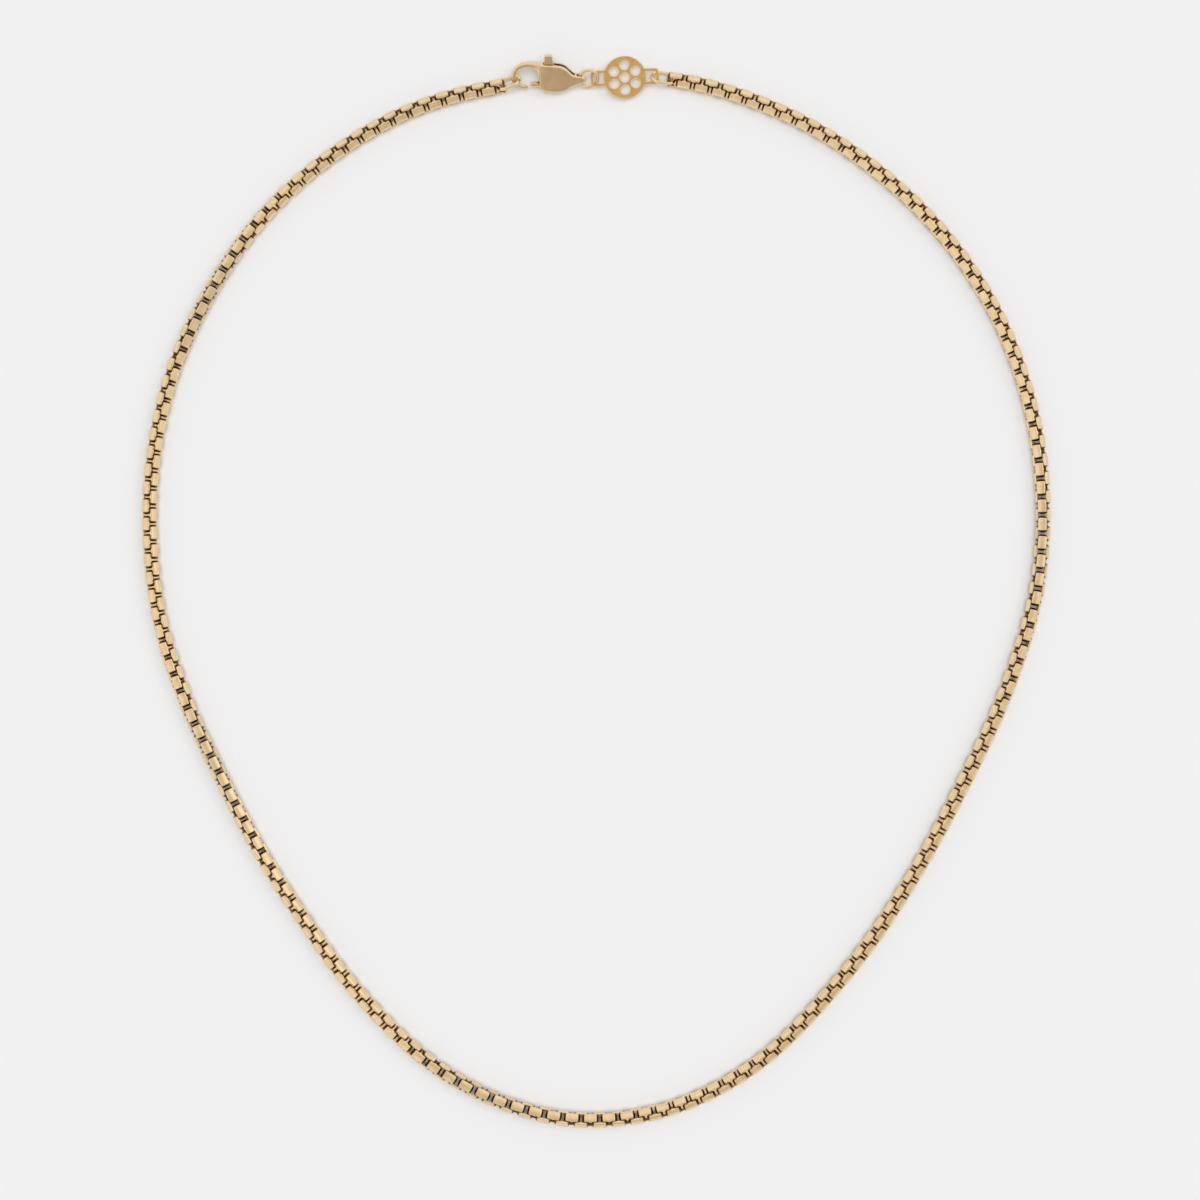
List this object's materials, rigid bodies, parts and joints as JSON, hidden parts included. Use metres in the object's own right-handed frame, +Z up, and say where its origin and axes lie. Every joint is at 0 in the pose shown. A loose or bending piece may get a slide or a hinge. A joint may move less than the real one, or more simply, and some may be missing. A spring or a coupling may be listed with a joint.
{
  "type": "box chain necklace",
  "caption": "Gold-coloured round box chain necklace lying in an open loop, closed at the back by a lobster clasp, a jump ring, oval end rings and a pierced round charm.",
  "frame": {"origin": "middle of the loop's outline, on the surface that the chain lies on", "axes": "+Y from the front of the chain to the clasp, +X to the right as seen from above, +Z up off the surface"},
  "size_m": [0.1508, 0.1776, 0.0042],
  "materials": {
    "chain_gold": "bright gold plating",
    "ring_gold": "polished gold plating",
    "charm_gold": "fine matte gold plating",
    "clasp_gold": "satin gold plating with polished edges"
  },
  "bodies": {
    "root": {"chain": "chain_gold", "box_link_left": "chain_gold", "box_link_right": "chain_gold", "end_ring_left": "ring_gold", "end_ring_right": "ring_gold", "jump_ring": "ring_gold", "charm": "charm_gold", "clasp_body": "clasp_gold", "pivot_pin": "clasp_gold"},
    "lever": {"clasp_lever": "clasp_gold"}
  },
  "joints": [
    {"name": "lever_hinge", "type": "hinge", "parent": "root", "child": "lever", "pos_m": [-0.00756, 0.08426, 0.00158], "axis": [0, 0.454, -0.891], "range_deg": [0, 22], "stiffness_Nm_per_rad": 0.005, "springref_deg": -20.05}
  ]
}
